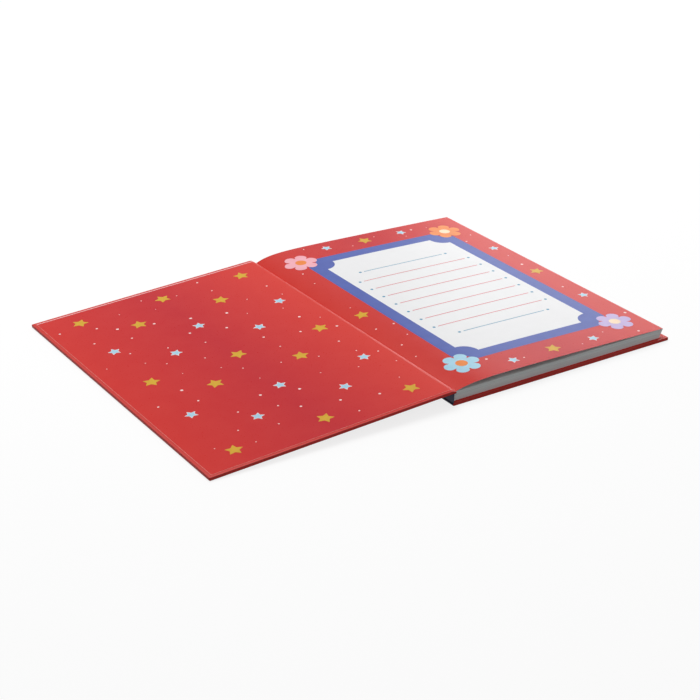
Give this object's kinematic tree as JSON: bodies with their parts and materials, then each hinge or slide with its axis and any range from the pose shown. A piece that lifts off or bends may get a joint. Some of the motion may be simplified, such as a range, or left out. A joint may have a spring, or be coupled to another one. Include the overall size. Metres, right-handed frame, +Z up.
{
  "type": "hardback picture book, open",
  "caption": "Thin A4 case-bound children's book lying open at its front endpapers, with printed star endpapers and covers that open and close on hinges at the spine.",
  "frame": {"origin": "On the surface under the open book, below the middle of its overall length and at the middle of its height from tail to head.", "axes": "+X from the open front cover's fore-edge across the spine to the back cover's fore-edge, +Y from the tail of the pages to the head, +Z up."},
  "size_m": [0.4218, 0.303, 0.0151],
  "materials": {
    "endpaper_print": "coated paper printed red with an even pattern of stars, soft gloss",
    "cover_print": "red printed paper with a satin laminate, slightly rubbed edges",
    "spine_print": "navy printed paper with a satin laminate",
    "page_edges": "cut edges of white coated pages, fine horizontal lines",
    "greyboard": "matt grey board, hidden inside the covers",
    "band_cloth": "woven white cotton band with a round bead",
    "gauze": "open cotton gauze set in dried glue",
    "lining_paper": "plain uncoated lining paper"
  },
  "bodies": {
    "book_block": {"text_block": "page_edges", "front_flyleaf": "endpaper_print", "back_flyleaf": "endpaper_print", "spine_gauze": "gauze", "spine_lining": "lining_paper", "head_band": "band_cloth", "tail_band": "band_cloth", "spine_card": "greyboard", "spine_wrap": "spine_print"},
    "front_cover": {"front_board": "greyboard", "front_wrap": "cover_print", "front_pastedown": "endpaper_print"},
    "back_cover": {"back_board": "greyboard", "back_wrap": "cover_print", "back_pastedown": "endpaper_print"}
  },
  "joints": [
    {"name": "front_cover_hinge", "type": "hinge", "parent": "book_block", "child": "front_cover", "pos_m": [-0.0001, 0, 0.01165], "axis": [0, 1, 0], "range_deg": [0, 182.81], "deforming": ["front_flyleaf"]},
    {"name": "back_cover_hinge", "type": "hinge", "parent": "book_block", "child": "back_cover", "pos_m": [-0.00275, 0, 0.0013], "axis": [0, 1, 0], "range_deg": [0, 177]}
  ]
}
